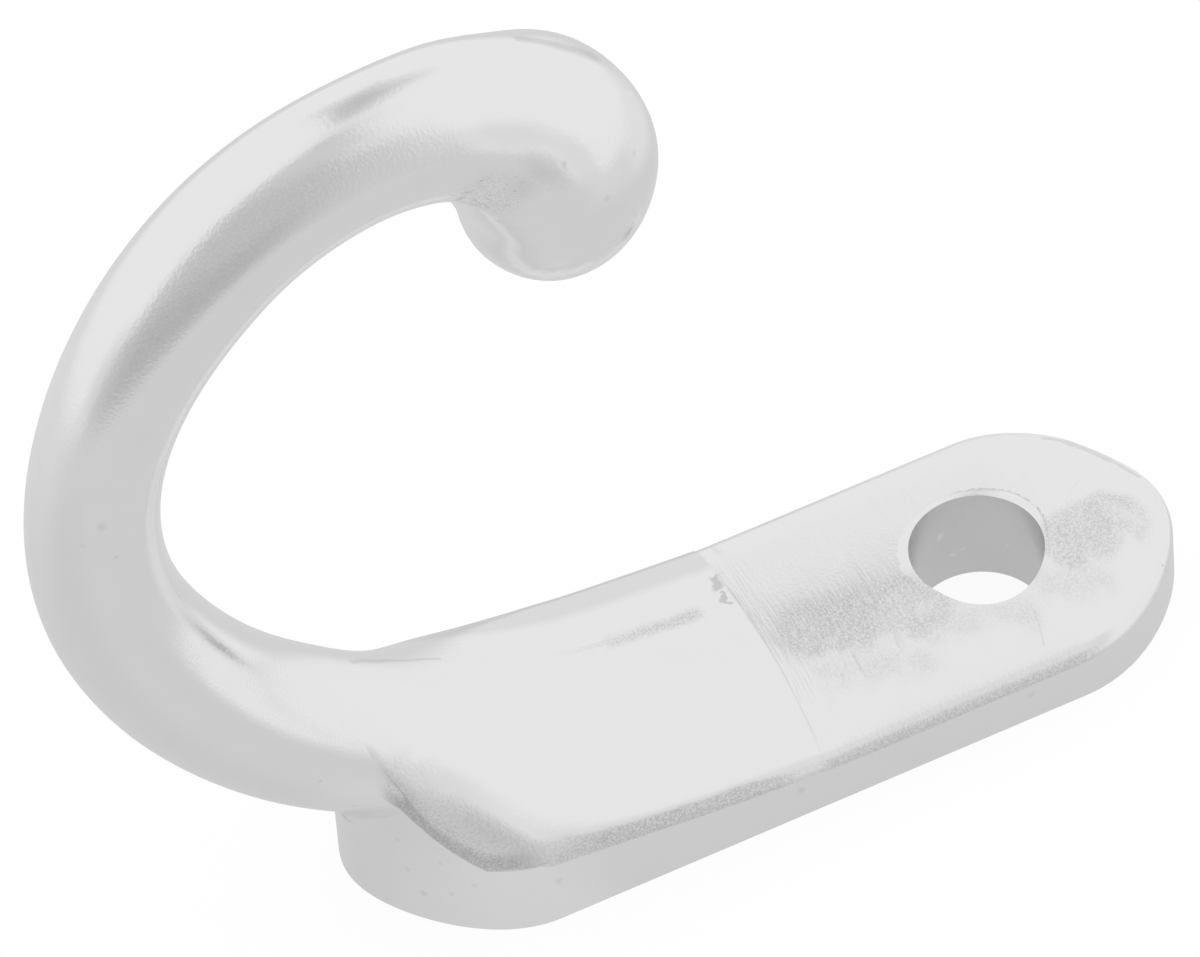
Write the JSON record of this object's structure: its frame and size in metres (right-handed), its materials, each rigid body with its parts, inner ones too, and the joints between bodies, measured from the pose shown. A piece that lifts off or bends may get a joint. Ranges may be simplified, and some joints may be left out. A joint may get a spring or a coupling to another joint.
{
  "type": "curtain tieback hook",
  "caption": "Cast metal tieback hook: a domed oblong wall plate with one screw hole, and a round bar that curls up over the plate and ends in a rounded knob.",
  "frame": {"origin": "axis of the screw hole at the plate's back face", "axes": "+Z out of the wall along the screw hole, +X along the plate towards its hole end, +Y across the plate"},
  "size_m": [0.0397, 0.0099, 0.0361],
  "materials": {
    "plated_metal": "bright satin plating over a fine cast grain"
  },
  "bodies": {
    "root": {"hook": "plated_metal"}
  },
  "joints": []
}
